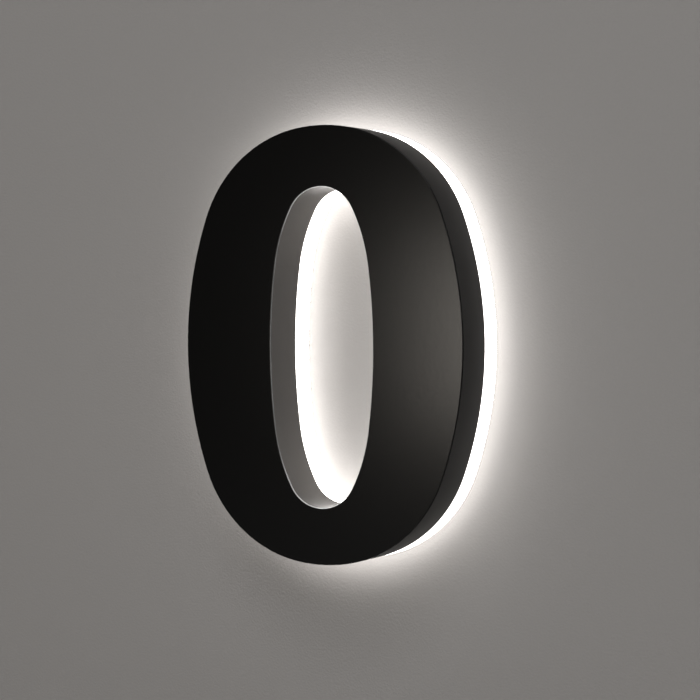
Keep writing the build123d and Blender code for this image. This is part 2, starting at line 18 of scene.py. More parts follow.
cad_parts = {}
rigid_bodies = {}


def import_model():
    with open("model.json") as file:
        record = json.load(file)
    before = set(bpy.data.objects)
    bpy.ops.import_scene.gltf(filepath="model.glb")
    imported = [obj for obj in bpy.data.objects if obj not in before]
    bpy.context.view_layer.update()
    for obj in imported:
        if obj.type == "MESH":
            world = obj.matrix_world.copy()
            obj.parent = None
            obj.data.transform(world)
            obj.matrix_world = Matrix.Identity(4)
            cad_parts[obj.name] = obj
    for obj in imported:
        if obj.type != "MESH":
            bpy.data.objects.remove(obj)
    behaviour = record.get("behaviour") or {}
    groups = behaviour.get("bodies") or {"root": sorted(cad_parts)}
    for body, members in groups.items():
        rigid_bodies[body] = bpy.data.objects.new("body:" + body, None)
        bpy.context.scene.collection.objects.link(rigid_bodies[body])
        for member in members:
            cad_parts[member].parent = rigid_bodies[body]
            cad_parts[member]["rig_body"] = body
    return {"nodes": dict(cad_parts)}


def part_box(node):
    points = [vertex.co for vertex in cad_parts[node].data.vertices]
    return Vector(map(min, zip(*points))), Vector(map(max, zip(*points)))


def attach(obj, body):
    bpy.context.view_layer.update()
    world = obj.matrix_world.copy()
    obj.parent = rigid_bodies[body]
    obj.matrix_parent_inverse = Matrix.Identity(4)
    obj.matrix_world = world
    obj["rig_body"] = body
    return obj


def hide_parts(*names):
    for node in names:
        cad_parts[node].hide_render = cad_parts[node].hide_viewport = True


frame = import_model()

bpy.context.view_layer.update()

# %% [markdown]
# ## Shader maths as arithmetic
#
# A finish is a small calculation: coordinates go in, a colour, a roughness or a height comes
# out. It could be built node by node in Blender's editor. Here one small class wraps a
# socket, so that a calculation reads as Python: `grain * 0.2 + 0.5` adds the two Math nodes.
# Everything that isn't a sum comes from its one method `node`.

# %% One class for shader expressions
MATH_NODE = "ShaderNodeMath"


class Signal:
    """A socket that carries a number, colour or vector from one node to the next."""

    def __init__(self, socket):
        self.socket = socket

    def node(self, kind, settings=None, inputs=None, output=0):
        """Adds a node of a type. Its settings come first, then its sockets' values or links."""
        tree = self.socket.id_data
        made = tree.nodes.new(kind)
        for name, value in (settings or {}).items():
            setattr(made, name, value)
        for name, value in (inputs or {}).items():
            if isinstance(value, Signal):
                tree.links.new(value.socket, made.inputs[name])
            else:
                made.inputs[name].default_value = value
        return Signal(made.outputs[output])

    def math(self, operation, *others):
        """A Math node with this signal first."""
        return self.node(MATH_NODE, {"operation": operation}, dict(enumerate((self, *others))))

    def __add__(self, other):
        return self.math("ADD", other)

    __radd__ = __add__

    def __mul__(self, other):
        return self.math("MULTIPLY", other)

    __rmul__ = __mul__

    def __sub__(self, other):
        return self.math("SUBTRACT", other)

    def __rsub__(self, other):
        return self.node(MATH_NODE, {"operation": "SUBTRACT"}, {0: other, 1: self})

    def __truediv__(self, other):
        return self.math("DIVIDE", other)

    def __pow__(self, other):
        return self.math("POWER", other)

    def __abs__(self):
        return self.math("ABSOLUTE")


# %% [markdown]
# ## The digit's outlines
#
# The digit's edge and its counter are ovals of tangent arcs. A point on such an oval is
# known from one number, the direction in which the edge faces there: it is the centre of its
# arc plus the arc's radius in that direction. An oval moved outwards is then the same oval
# with longer radii, which gives the wall's opening and the glow their shape for free. The
# tables give each arc's centre and radius, the angles from the top at which one arc passes
# into the next, and how far the oval lies below the middle.

# %% An oval as whole arrays
DIGIT_ARCS = {
    "crown": (0.025, 0.075),
    "shoulder": (0.00236078, 0.03838866, 0.0614048),
    "side": (-0.10368672, 0.17418672),
    "angles": (10.0, 70.1),
    "drop": 0.0,
}
COUNTER_ARCS = {
    "crown": (0.0558001, 0.0171999),
    "shoulder": (-0.05365094, 0.02727339, 0.07796335),
    "side": (-0.2608129, 0.2869129),
    "angles": (62.0, 82.5),
    "drop": 0.001,
}
TABLE_STEPS = 4001


def oval_points(arcs, turns, grow=0.0):
    """Points of an oval where its edge faces the given turns from the top, in radians.

    Each turn is folded into the first quarter. There it picks its arc, and the point is the
    arc's centre plus radius times (sin turn, cos turn). The signs of sine and cosine unfold it.
    """
    across, up = np.sin(turns), np.cos(turns)
    folded = np.arctan2(np.abs(across), np.abs(up))
    first, second = np.radians(arcs["angles"])
    zone = np.digitize(folded, [first, second])
    crown_z, crown_radius = arcs["crown"]
    shoulder_x, shoulder_z, shoulder_radius = arcs["shoulder"]
    side_x, side_radius = arcs["side"]
    centre_x = np.choose(zone, [0.0, shoulder_x, side_x])
    centre_z = np.choose(zone, [crown_z, shoulder_z, 0.0])
    radius = np.choose(zone, [crown_radius, shoulder_radius, side_radius]) + grow
    x = np.sign(across) * (centre_x + radius * np.abs(across))
    z = np.sign(up) * (centre_z + radius * np.abs(up)) - arcs["drop"]
    return x, z


def even_turns(arcs, count):
    """Turns that part an oval's edge into equal lengths, from a fine table of its length."""
    fine = np.linspace(0, 2 * pi, TABLE_STEPS)
    x, z = oval_points(arcs, fine)
    length = np.concatenate([[0], np.cumsum(np.hypot(np.diff(x), np.diff(z)))])
    return np.interp(np.arange(count) / count * length[-1], length, fine)


for name, arcs in (("digit", DIGIT_ARCS), ("counter", COUNTER_ARCS)):
    x, z = oval_points(arcs, even_turns(arcs, 4))
    print(f"{name}: {np.ptp(x):.4f} m wide, {np.ptp(z):.4f} m high")

# %% [markdown]
# ## Meshes from grids of points
#
# Every new surface here is a grid: loops of points, one after the other. It could be made by
# pulling at vertices with Blender's tools. With numpy, the points of a whole grid come from
# one formula and its faces from the points' numbers, so the shape is exact and there is no
# loop over vertices.

# %% Grids of loops
def loop_faces(rows, columns, closed=False):
    """Faces of a grid of closed loops: each cell joins a loop's point to the next of both.

    A closed grid also joins its last loop to its first, so it is a ring with no ends.
    """
    here = np.arange(rows * columns).reshape(rows, columns)
    above = np.roll(here, -1, axis=0)
    cells = [here, np.roll(here, -1, axis=1), np.roll(above, -1, axis=1), above]
    stop = rows if closed else rows - 1
    return np.stack([cell[:stop].ravel() for cell in cells], axis=1)


def fan(loop, tip):
    """Triangles that join each side of a loop of point numbers to one more point, the tip."""
    return np.stack([loop, np.roll(loop, -1), np.full(len(loop), tip)], axis=1)


def add_mesh(name, points, faces, material, mirrored=False):
    """A smooth mesh object of points and lists of faces. Mirrored turns the faces round."""
    mesh = bpy.data.meshes.new(name)
    step = -1 if mirrored else 1
    corners = [face[::step] for part in faces for face in part.tolist()]
    mesh.from_pydata(points.reshape(-1, 3).tolist(), [], corners)
    mesh.polygons.foreach_set("use_smooth", np.ones(len(mesh.polygons), bool))
    mesh.materials.append(material)
    made = bpy.data.objects.new(name, mesh)
    bpy.context.scene.collection.objects.link(made)
    print(f"{name}: {len(mesh.vertices)} points, {len(mesh.polygons)} faces")
    return made


# %% [markdown]
# ## Words for finishes
#
# A finish is a shader with constants on its own sockets, and patterns linked to those that
# change over the surface: colour, roughness and fine relief. The patterns read Object
# coordinates, which are metres, so a scale is a number of waves a metre. These few functions
# are the words that all the finishes below are written in.

# %% Words for finishes
MIX_FIRST, MIX_SECOND, MIX_RESULT = 6, 7, 2  # the Mix node's sockets for colours


def new_finish(name, **constants):
    """A material, its shader and its Object coordinates. Constants go to the shader's sockets."""
    material = bpy.data.materials.new(name)
    material.use_nodes = True
    nodes = material.node_tree.nodes
    shader = nodes["Principled BSDF"]
    for socket, value in constants.items():
        shader.inputs[socket.replace("_", " ")].default_value = value
    place = Signal(nodes.new("ShaderNodeTexCoord").outputs["Object"])
    print("finish:", name)
    return material, shader, place


def connect(shader, **signals):
    """Links signals to a shader's sockets."""
    for socket, signal in signals.items():
        name = socket.replace("_", " ")
        signal.socket.id_data.links.new(signal.socket, shader.inputs[name])


def noise(place, scale, detail=3.0):
    """Soft random values, from 0 to 1, at a number of waves a metre."""
    return place.node("ShaderNodeTexNoise", None,
                      {"Vector": place, "Scale": scale, "Detail": detail})


def bump(height, distance, strength=1.0):
    """A normal from a height between 0 and 1, which stands for a distance in metres."""
    return height.node("ShaderNodeBump", None,
                       {"Height": height, "Distance": distance, "Strength": strength})


def between(value, low, high, to_low=0.0, to_high=1.0):
    """A soft step from to_low to to_high, as the value goes from low to high."""
    return value.node("ShaderNodeMapRange", {"interpolation_type": "SMOOTHSTEP"},
                      {"Value": value, "From Min": low, "From Max": high,
                       "To Min": to_low, "To Max": to_high})


def tint(share, first, second):
    """A colour that goes from the first to the second with the share. Each may be a signal."""
    first, second = (
        colour if isinstance(colour, Signal) else (*colour, 1.0) for colour in (first, second)
    )
    return share.node("ShaderNodeMix", {"data_type": "RGBA"},
                      {"Factor": share, MIX_FIRST: first, MIX_SECOND: second},
                      output=MIX_RESULT)


# %% [markdown]
# ## The camera
#
# The photograph is taken from the sign's right, about a metre away, nearly level, with a
# long lens. The camera stands at that azimuth and elevation, looks at the middle of the
# digit and is rolled by a fifth of a degree, as the photograph is.

# %% Camera
CAMERA_AZIMUTH = radians(26.74)
CAMERA_ELEVATION = radians(1.5)
CAMERA_DISTANCE = 1.0326
CAMERA_TARGET = Vector((-0.00414, 0.0, -0.00299))
CAMERA_ROLL = radians(-0.22)
FOCAL_PIXELS = 2196.5
PHOTO_PIXELS = 700

camera_data = bpy.data.cameras.new("camera")
camera_data.sensor_width = 36.0
camera_data.lens = camera_data.sensor_width * FOCAL_PIXELS / PHOTO_PIXELS
camera_data.clip_start = 0.01
camera = bpy.data.objects.new("camera", camera_data)
bpy.context.scene.collection.objects.link(camera)
bpy.context.scene.camera = camera

towards_camera = Vector((
    sin(CAMERA_AZIMUTH) * cos(CAMERA_ELEVATION),
    -cos(CAMERA_AZIMUTH) * cos(CAMERA_ELEVATION),
    sin(CAMERA_ELEVATION),
))
camera.location = CAMERA_TARGET + CAMERA_DISTANCE * towards_camera
camera.rotation_mode = "QUATERNION"
level_view = (-towards_camera).to_track_quat("-Z", "Y")
camera.rotation_quaternion = level_view @ Matrix.Rotation(CAMERA_ROLL, 3, "Z").to_quaternion()
print("lens:", round(camera_data.lens, 2), "mm")

# %% [markdown]
# ## Wall, floor and light
#
# The sign lives on a wall, and half of its look is the glow on that wall. The backdrop is
# therefore a plain matt wall just behind the sign. It leaves an opening behind the tray, a
# little inside the digit's edge, so that the sign's back stays open to light, and rays that
# come from behind pass through it, so that the back can be looked at.

# %% Wall
WALL_COLOUR = (0.220, 0.212, 0.206)
WALL_LEVEL = 0.0001
WALL_REACH = 1.6
WALL_MIDDLE = 0.0005  # radius of the last loop in the counter, which a fan closes
OPENING_INSET = 0.004
WALL_ROWS = 24
AROUND = 360  # points round the digit

wall_paint, shader, place = new_finish("wall_paint", Roughness=0.9, Specular_IOR_Level=0.1)
speckle = noise(place, 900.0, 4.0)
lighter = tuple(1.06 * x for x in WALL_COLOUR)
connect(shader, Base_Color=tint(speckle, WALL_COLOUR, lighter), Normal=bump(speckle, 0.0003, 0.4))

tree = wall_paint.node_tree
painted = Signal(shader.outputs["BSDF"])
open_behind = painted.node("ShaderNodeMixShader", None, {
    0: painted.node("ShaderNodeNewGeometry", output="Backfacing"),
    1: painted,
    2: painted.node("ShaderNodeBsdfTransparent"),
})
tree.links.new(open_behind.socket, tree.nodes["Material Output"].inputs["Surface"])


def wall_part(name, arcs, grow, reach, closed=False):
    """Wall from an oval to a circle of radius reach. A row's share of the way is a square.

    A closed part lies inside its oval, so its faces turn round, and a fan fills its circle.
    """
    turns = even_turns(arcs, AROUND)
    edge = np.stack(oval_points(arcs, turns, grow))
    rim = reach * np.stack([np.sin(turns), np.cos(turns)])
    share = np.linspace(0, 1, WALL_ROWS)[:, None] ** 2
    x, z = edge[:, None] + (rim - edge)[:, None] * share
    points = np.stack([x, np.full_like(x, WALL_LEVEL), z], axis=-1).reshape(-1, 3)
    faces = [loop_faces(WALL_ROWS, AROUND)]
    if closed:
        faces.append(fan(np.arange(len(points) - AROUND, len(points)), len(points)))
        points = np.concatenate([points, [points[-AROUND:].mean(axis=0)]])
    return add_mesh(name, points, faces, wall_paint, mirrored=closed)


wall = wall_part("wall", DIGIT_ARCS, -OPENING_INSET, WALL_REACH)
wall_in_counter = wall_part("wall_in_counter", COUNTER_ARCS, OPENING_INSET, WALL_MIDDLE,
                            closed=True)

# %% Floor
FLOOR_LEVEL = -0.3
FLOOR_HALF = 2.0
PALE, PALER = (0.62, 0.62, 0.61), (0.66, 0.66, 0.65)

floor_paint, shader, place = new_finish("floor_paint", Roughness=0.8, Specular_IOR_Level=0.2)
connect(shader, Base_Color=tint(noise(place, 40.0), PALE, PALER))
corners = np.array([(-1, -1), (1, -1), (1, 1), (-1, 1)]) * FLOOR_HALF
floor_points = np.column_stack([corners, np.full(4, FLOOR_LEVEL)])
floor = add_mesh("floor", floor_points, [np.array([[0, 1, 2, 3]])], floor_paint)

# %% [markdown]
# The light is soft and plain. A large lamp above and one at the right give wall and sign
# their level, and a third stands behind the wall's plane for the sign's back. A small panel
# at the left front is there for the coat alone: it stands where the right half of the face
# mirrors it into the camera, and gives the coat its satin sheen.

# %% Light
WORLD_STRENGTH = 0.10
WHITE = (1.0, 1.0, 1.0)
WARM = (1.0, 0.93, 0.84)
SIGN = (0.0, 0.0, 0.0)
LAMPS = {  # place, what it points at, width and height, power in watts, colour
    "soft_top": ((0.3, -1.6, 1.5), SIGN, (1.2, 1.2), 29.0, WHITE),
    "soft_right": ((1.5, -1.3, 0.5), SIGN, (1.0, 1.0), 7.0, WHITE),
    "sheen": ((-0.235, -0.8375, -0.007), (0.09, -0.0375, 0.008), (0.13, 0.15), 1.0, WARM),
    "soft_back": ((0.8, 1.6, 1.2), SIGN, (1.2, 1.2), 27.0, WHITE),
}

world = bpy.data.worlds.new("studio")
bpy.context.scene.world = world
world.use_nodes = True
background = world.node_tree.nodes["Background"]
background.inputs["Color"].default_value = (*WHITE, 1.0)
background.inputs["Strength"].default_value = WORLD_STRENGTH

for name, (lamp_place, target, size, power, colour) in LAMPS.items():
    lamp_data = bpy.data.lights.new(name, "AREA")
    lamp_data.shape = "RECTANGLE"
    lamp_data.size, lamp_data.size_y = size
    lamp_data.energy = power
    lamp_data.color = colour
    lamp = bpy.data.objects.new(name, lamp_data)
    bpy.context.scene.collection.objects.link(lamp)
    lamp.location = lamp_place
    lamp.rotation_mode = "QUATERNION"
    aim = Vector(target) - Vector(lamp_place)
    lamp.rotation_quaternion = aim.to_track_quat("-Z", "Y")
print("lamps:", ", ".join(LAMPS))

# %% [markdown]
# ## Where a point lies on the digit
#
# Some finishes change over the digit: the tray glows only where it faces out of the digit,
# and one lead of each pair is red. Both ask on which side of the lane, the middle of the
# digit's stroke, a point lies. The lane is very nearly a stretched circle with a power of
# 2.4 in place of 2, so a few Math nodes answer that.

# %% Side of the lane
LANE_HALF_WIDTH = 0.0482
LANE_HALF_HEIGHT = 0.0864
LANE_POWER = 2.4
LANE_DROP = 0.0005


def axis_values(vector):
    """The x, y and z of a vector, as three signals."""
    return [vector.node("ShaderNodeSeparateXYZ", None, {0: vector}, output=i) for i in range(3)]


def beyond_lane(place):
    """Positive outside the lane and negative inside: the powers of x and z over its halves."""
    x, _, z = axis_values(place)
    across = abs(x / LANE_HALF_WIDTH) ** LANE_POWER
    up = abs((z + LANE_DROP) / LANE_HALF_HEIGHT) ** LANE_POWER
    return across + up - 1.0


print("lane:", 2 * LANE_HALF_WIDTH, "m wide,", 2 * LANE_HALF_HEIGHT, "m high")

# %% [markdown]
# ## Black powder coat
#
# The cover is aluminium with a black, satin powder coat. Baked powder flows into a skin with
# a very faint orange peel, waves about a millimetre and a half long, and fine dust in it
# makes the gloss vary. The colour is nearly nothing, so the surface shows its gloss, and the
# gloss shows the peel. On the returns the coat is matter. Their colour holds painted light
# from the glow: a dark grey a little towards the tray, and much more of it inside the counter.
# Along the counter's edge a painted highlight lightens the round. Both painted marks show
# most at the counter's crown and foot, where it curves hardest.

# %% Black coat
BAND_DEPTH = 0.0135  # from the wall to the cover
PAINTED_GLOW_FROM = 0.030  # from the wall to where painted glow light on the outer return begins
# Painted glow light inside the counter grows between these heights.
WALL_CURVE = (0.025, 0.075)  # heights from the middle: the counter starts to curve, and ends
# The painted highlight on the counter's edge grows between these heights.
EDGE_CURVE = (0.045, 0.072)
PEEL_SCALE = 620.0
PEEL_HEIGHT = 0.000012
DEEP_BLACK = (0.0017, 0.0016, 0.0015)
# Painted glow light: the grey that the returns' colour goes to where the glow lights them.
PAINTED_GLOW_BLACK = (0.054, 0.050, 0.047)
# Painted highlight: the grey that the counter's edge round goes to.
PAINTED_EDGE_HIGHLIGHT = (0.50, 0.50, 0.50)

black_coat, shader, place = new_finish("black_coat", Specular_IOR_Level=0.15)
peel = noise(place, PEEL_SCALE, 2.0)
dust = noise(place, 5200.0, 2.0)

# Facing is 1 on the face and 0 on a return. The edge lies between the two.
facing = abs(axis_values(place.node("ShaderNodeNewGeometry", output="Normal"))[1])
on_return = between(facing, 0.3, 0.05)
on_edge = between(facing, 0.05, 0.3) * between(facing, 0.98, 0.9)
in_counter = between(beyond_lane(place), 0.0, -0.1)
_, depth, height = axis_values(place)
near_tray = between(depth, -PAINTED_GLOW_FROM, -BAND_DEPTH)
# Painted glow light on the counter's returns, most at crown and foot.
counter_painted_glow = in_counter * between(abs(height), *WALL_CURVE, 0.55, 1.0)
# Painted highlight on the counter's edge round, most at crown and foot.
edge_painted_highlight = in_counter * between(abs(height), *EDGE_CURVE, 0.22, 1.0)
# Painted glow light on the returns: inside the counter, and a little on the outer return towards
# the tray.
painted_glow_share = on_return * (counter_painted_glow + (1.0 - in_counter) * near_tray * 0.25)
connect(
    shader,
    Base_Color=tint(on_edge * edge_painted_highlight, tint(painted_glow_share, DEEP_BLACK, PAINTED_GLOW_BLACK), PAINTED_EDGE_HIGHLIGHT),
    Roughness=0.17 + dust * 0.06 + on_return * 0.28,
    Normal=bump(peel * 0.85 + dust * 0.15, PEEL_HEIGHT),
)

# %% [markdown]
# ## Opal acrylic
#
# The tray is milled from white opal acrylic. Light from the modules spreads in it and leaves
# through its rim, the band between the cover and the wall. Acrylic that scatters could be
# traced as a volume, but that is slow and noisy. So the tray is a milky solid that gives off
# a little light where it is thin, and its rim gets a skin of its own further down, which
# glows at full strength.

# %% Opal acrylic
FLOOR_THICKNESS = 0.003
FLOOR_FADE = 0.002
TRAY_GLOW = 0.35
RIM_GLOW = 8.2
EDGE_FADE = 0.0014  # the rim's light fades over this depth, to these shares of it
WALL_EDGE_SHARE = 0.7
COVER_EDGE_SHARE = 0.1
ACRYLIC_IOR = 1.49
GLOW_COLOUR = (1.0, 0.975, 0.95)
OPAL, PALE_OPAL = (0.80, 0.80, 0.79), (0.86, 0.86, 0.85)


def opal_finish(name, glow, glow_share):
    """Opal acrylic that gives off light. glow_share maps the coordinates to a share of it."""
    material, shader, place = new_finish(
        name, Roughness=0.28, IOR=ACRYLIC_IOR, Emission_Strength=glow
    )
    cloud = noise(place, 60.0, 2.0)
    share = glow_share(place) * (0.94 + cloud * 0.12)
    connect(
        shader,
        Base_Color=tint(cloud, OPAL, PALE_OPAL),
        Emission_Color=tint(share, (0.0, 0.0, 0.0), GLOW_COLOUR),
        Normal=bump(noise(place, 3000.0, 2.0), 0.000004),
    )
    return material


def above_floor(place):
    """Nothing in the tray's floor, which the carrier plate darkens, and all of it above."""
    return between(axis_values(place)[1], -FLOOR_THICKNESS, -FLOOR_THICKNESS - FLOOR_FADE)


def across_band(place):
    """All of it over the band's depth, less near the wall, and little near the cover."""
    y = axis_values(place)[1]
    from_wall = between(y, 0.0, -EDGE_FADE, WALL_EDGE_SHARE, 1.0)
    from_cover = between(y, -BAND_DEPTH, EDGE_FADE - BAND_DEPTH, COVER_EDGE_SHARE, 1.0)
    return from_wall * from_cover


opal_acrylic = opal_finish("opal_acrylic", TRAY_GLOW, above_floor)
opal_rim = opal_finish("opal_rim", RIM_GLOW, across_band)

# %% [markdown]
# ## Metals
#
# Under the cover are plain shop metals: extruded aluminium blocks, zinc-plated brackets,
# stainless and blackened screws, turned brass. A metal is read by its reflections, so each
# gets its own colour as base colour, full metallic, and fine lines or blotches in its
# roughness, which is what rolling, turning and plating leave. One function makes them all.

# %% Metals
def stretched(place, x, y, z):
    """Coordinates multiplied along each axis, so that a pattern gets longer or finer there."""
    return place.node("ShaderNodeVectorMath", {"operation": "MULTIPLY"}, {0: place, 1: (x, y, z)})


def metal_finish(name, colour, roughness, line_scales, depth, metallic=1.0):
    """A metal with lines that the scales stretch, and soft blotches where it was handled."""
    material, shader, place = new_finish(name, Metallic=metallic)
    lines = noise(stretched(place, *line_scales), 1.0, 4.0)
    blotch = noise(place, 180.0, 2.0)
    darker = tuple(0.86 * x for x in colour)
    connect(
        shader,
        Base_Color=tint(blotch, darker, colour),
        Roughness=roughness + lines * 0.14 + blotch * 0.10,
        Normal=bump(lines, depth),
    )
    return material


FINISHES = {
    "black_coat": black_coat,
    "opal_acrylic": opal_acrylic,
    "block_metal": metal_finish(
        "block_metal", (0.60, 0.61, 0.62), 0.26, (2600, 60, 2600), 0.000010
    ),
    "bracket_steel": metal_finish(
        "bracket_steel", (0.58, 0.60, 0.62), 0.22, (3000, 200, 200), 0.000006
    ),
    "screw_steel": metal_finish(
        "screw_steel", (0.56, 0.55, 0.53), 0.18, (900, 4000, 900), 0.000006
    ),
    "black_steel": metal_finish(
        "black_steel", (0.035, 0.035, 0.040), 0.30, (1500, 1500, 1500), 0.000008, 0.7
    ),
    "sleeve_brass": metal_finish(
        "sleeve_brass", (0.70, 0.46, 0.17), 0.20, (500, 6000, 500), 0.000008
    ),
    "terminal_brass": metal_finish(
        "terminal_brass", (0.68, 0.45, 0.18), 0.24, (3000, 3000, 300), 0.000006
    ),
}

# %% [markdown]
# ## Moulded plastics, paint, rubber and foam
#
# A moulded part copies the spark-eroded skin of its mould, a fine even grain with no
# direction, and its colour is cloudy by a few percent. White paint, film, silicone cord and
# foam gasket differ from that in how coarse and deep the grain is, and in how rough the
# surface is, so the same few nodes serve for all of them.

# %% Plastics, paint, rubber and foam
def grained_finish(name, colour, roughness, scale, depth):
    """A solid colour with clouds in it, and an even grain of a number of waves a metre."""
    material, shader, place = new_finish(name)
    skin = noise(place, scale, 3.0)
    cloud = noise(place, 90.0, 2.0)
    darker = tuple(0.90 * x for x in colour)
    connect(
        shader,
        Base_Color=tint(cloud, darker, colour),
        Roughness=roughness + skin * 0.12,
        Normal=bump(skin, depth),
    )
    return material


GRAINED = {  # colour, roughness, waves a metre, depth in metres
    "white_film": ((0.88, 0.88, 0.88), 0.42, 1400, 0.000010),
    "carrier_metal": ((0.80, 0.80, 0.79), 0.34, 1800, 0.000020),
    "rivet_nylon": ((0.78, 0.77, 0.71), 0.36, 2200, 0.000008),
    "gland_nylon": ((0.016, 0.016, 0.017), 0.42, 3200, 0.000030),
    "terminal_plastic": ((0.72, 0.69, 0.60), 0.40, 2600, 0.000020),
    "module_plastic": ((0.76, 0.76, 0.75), 0.38, 2800, 0.000020),
    "seal_rubber": ((0.46, 0.46, 0.45), 0.48, 1500, 0.000030),
}
for name, values in GRAINED.items():
    FINISHES[name] = grained_finish(name, *values)

# %% Foam
def foam_finish(name, colour, cells):
    """Closed-cell foam: rounded cells from their distance to the nearest cell's middle."""
    material, shader, place = new_finish(name, Roughness=0.9, Specular_IOR_Level=0.2)
    cell = place.node("ShaderNodeTexVoronoi", None, {"Vector": place, "Scale": cells})
    light = tuple(1.5 * x for x in colour)
    connect(
        shader,
        Base_Color=tint(cell, light, colour),
        Normal=bump(1.0 - cell, 0.00008),
    )
    return material


FINISHES["gasket_foam"] = foam_finish("gasket_foam", (0.030, 0.030, 0.032), 2400.0)
FINISHES["tape_foam"] = foam_finish("tape_foam", (0.20, 0.20, 0.20), 3200.0)

# %% [markdown]
# ## Leads
#
# The leads are PVC, one red and one black in each pair, and they run side by side round the
# lane. The side of the lane therefore tells which lead a point belongs to. Drawn PVC is
# smooth, with a slight ripple from the strands under it.

# %% Leads
RED_PVC = (0.42, 0.018, 0.014)
BLACK_PVC = (0.014, 0.014, 0.015)

lead_sheath, shader, place = new_finish("lead_sheath", IOR=1.53)
ripple = noise(place, 900.0, 2.0)
connect(
    shader,
    Base_Color=tint(between(beyond_lane(place), -0.01, 0.01), BLACK_PVC, RED_PVC),
    Roughness=0.28 + ripple * 0.14,
    Normal=bump(ripple, 0.00004),
)
FINISHES["lead_sheath"] = lead_sheath

# %% [markdown]
# ## Lens and phosphor
#
# Each module has two clear lenses, and under each a chip whose phosphor turns its blue light
# into white. The lens is acrylic that transmits light. The phosphor glows, yellow where it
# isn't lit through, and nearly white at the middle.

# %% Lens
lens_clear, shader, place = new_finish("lens_clear", Transmission_Weight=1.0, IOR=ACRYLIC_IOR)
haze = noise(place, 2400.0, 2.0)
connect(
    shader,
    Base_Color=tint(haze, (0.93, 0.94, 0.95), (0.98, 0.98, 0.98)),
    Roughness=0.04 + haze * 0.08,
)
FINISHES["lens_clear"] = lens_clear

# %% Phosphor
led_phosphor, shader, place = new_finish("led_phosphor", Roughness=0.55, Emission_Strength=6.0)
crystals = noise(place, 6000.0, 2.0)
connect(
    shader,
    Base_Color=tint(crystals, (0.80, 0.62, 0.16), (0.90, 0.76, 0.30)),
    Emission_Color=tint(crystals, (1.0, 0.86, 0.62), (1.0, 0.93, 0.80)),
    Normal=bump(crystals, 0.00002),
)
FINISHES["led_phosphor"] = led_phosphor

# %% [markdown]
# ## Put the finishes on
#
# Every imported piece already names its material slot, so each slot's material is exchanged
# for the finish of that name. A slot with no finish stops the script.

# %% Put the finishes on
for node in frame["nodes"].values():
    for material_slot in node.material_slots:
        material_slot.material = FINISHES[material_slot.material.name.split(".")[0]]
print("finishes:", len(FINISHES), "on", len(frame["nodes"]), "packed pieces")

# %% [markdown]
# ## The glowing rim
#
# The rim of the tray is flame polished: a skin with a small round at the cover's edge, and a
# nearly sharp edge at the wall. It could be part of the tray's own material, with a mask
# that finds the rim. A skin of its own is simpler and sharper, and leaves the tray's grooves
# dark. It is a small profile carried along the oval: each profile point is an inset and a
# level, and the inset moves the oval in or out.

# %% The glowing rim
SKIN_OUT = 0.00002
SKIN_IN = 0.0004
SKIN_END = 0.00002
COVER_ROUND = 0.00025
WALL_ROUND = 0.00005
ROUND_STEPS = 5


def carried(arcs, side, profile):
    """Loops of points: the profile's (inset, level) rows along an oval. Side 1 insets inwards."""
    turns = even_turns(arcs, AROUND)
    loops = [np.stack(oval_points(arcs, turns, -side * inset)) for inset, _ in profile]
    x, z = np.stack(loops, axis=1)
    levels = np.array([level for _, level in profile])
    return np.stack([x, np.broadcast_to(-levels[:, None], x.shape), z], axis=-1)


def quarter_round(radius):
    """(inset, level) points of a quarter circle, from the skin's end at the wall to its side."""
    turn = np.linspace(0, pi / 2, ROUND_STEPS)
    rows = radius * (1 - np.column_stack([np.sin(turn), np.cos(turn)]))
    return rows + (-SKIN_OUT, SKIN_END)


cover_edge = (0.0, BAND_DEPTH) + quarter_round(COVER_ROUND)[::-1] * (1, -1)
rim_profile = np.concatenate([
    [(SKIN_IN, SKIN_END)], quarter_round(WALL_ROUND),
    cover_edge, [(SKIN_IN, BAND_DEPTH - SKIN_END)],
])
for name, arcs, side in (("outer", DIGIT_ARCS, 1), ("counter", COUNTER_ARCS, -1)):
    loops = carried(arcs, side, rim_profile)
    faces = [loop_faces(len(rim_profile), AROUND, closed=True)]
    rim_skin = add_mesh(f"{name}_glow_rim", loops, faces, opal_rim, mirrored=side > 0)
    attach(rim_skin, "wall_unit")

# %% [markdown]
# ## Turned, hexagonal and threaded pieces
#
# Lenses, chips, nuts and screws all grow along an axis. Each is a stack of loops, and a loop
# has a height and, for every angle round the axis, a radius. A circle has one radius, a
# hexagon has half its flats over the cosine of the angle from its nearest flat, and a
# thread's radius is a zigzag of height and angle together. The stack goes up the outside,
# and where the piece has a hole, down again inside. It is drawn once about the origin, and
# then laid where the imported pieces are, which is read from their points.

# %% Stacks of loops
TOWARDS_VIEWER = np.array([0.0, -1.0, 0.0])
MILLIMETRE = 0.001


def cap_faces(rows, columns):
    """Triangles that close a grid's first and last loop towards two points added after it."""
    first = np.arange(columns)
    last = first + (rows - 1) * columns
    start = fan(first, rows * columns)[:, [1, 0, 2]]
    return np.concatenate([start, fan(last, rows * columns + 1)])


def with_tips(loops):
    """The loops' points in one row, and after them the middles of the first and last loop."""
    flat = loops.reshape(*loops.shape[:-3], -1, 3)
    tips = loops[..., [0, -1], :, :].mean(axis=-2)
    return np.concatenate([flat, tips], axis=-2)


def angles_round(columns):
    """Evenly spaced angles round an axis, as an array."""
    return np.arange(columns) / columns * 2 * pi


def stack(rows, columns):
    """Loops from rows of (height, radius) in millimetres. A radius may be one for each angle."""
    angles = angles_round(columns)
    radius = np.array([np.broadcast_to(row[1], columns) for row in rows])
    height = np.broadcast_to(np.array([row[0] for row in rows])[:, None], radius.shape)
    x, y = radius * np.cos(angles), radius * np.sin(angles)
    return MILLIMETRE * np.stack([x, y, height], axis=-1)


def box_middle(name):
    """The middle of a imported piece's box."""
    low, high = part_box(name)
    return (np.array(low) + np.array(high)) / 2


